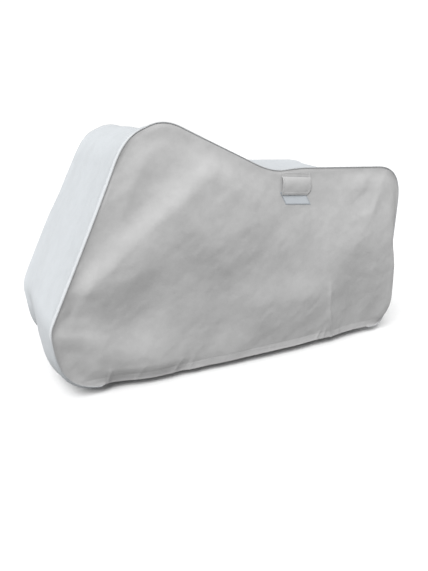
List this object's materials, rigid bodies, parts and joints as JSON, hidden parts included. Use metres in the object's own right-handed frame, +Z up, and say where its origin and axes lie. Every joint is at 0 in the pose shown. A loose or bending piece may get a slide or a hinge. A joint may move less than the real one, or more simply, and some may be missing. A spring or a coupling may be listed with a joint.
{
  "type": "quad bike cover",
  "caption": "Fitted cloth cover for a quad bike: grey side panels and a pale strip over the top, piped seams, a vent flap and an open bottom with a drawn-in hem.",
  "frame": {"origin": "inside face of the centre strip, under the crown where the handlebar carries the cover", "axes": "+X from nose to tail, +Y to the right-hand side of the machine, +Z up"},
  "size_m": [2.1128, 1.0044, 1.2387],
  "materials": {
    "panel_cloth": "grey laminated nonwoven cloth, matt",
    "strip_cloth": "pale blue-silver laminated cloth, faint sheen",
    "piping": "grey woven binding tape round a cord",
    "tag": "smooth woven tag, bare"
  },
  "bodies": {
    "root": {"side_panel_left": "panel_cloth", "side_panel_right": "panel_cloth", "centre_strip": "strip_cloth", "piping_left": "piping", "piping_right": "piping", "vent_flap": "panel_cloth", "tag": "tag"}
  },
  "joints": []
}
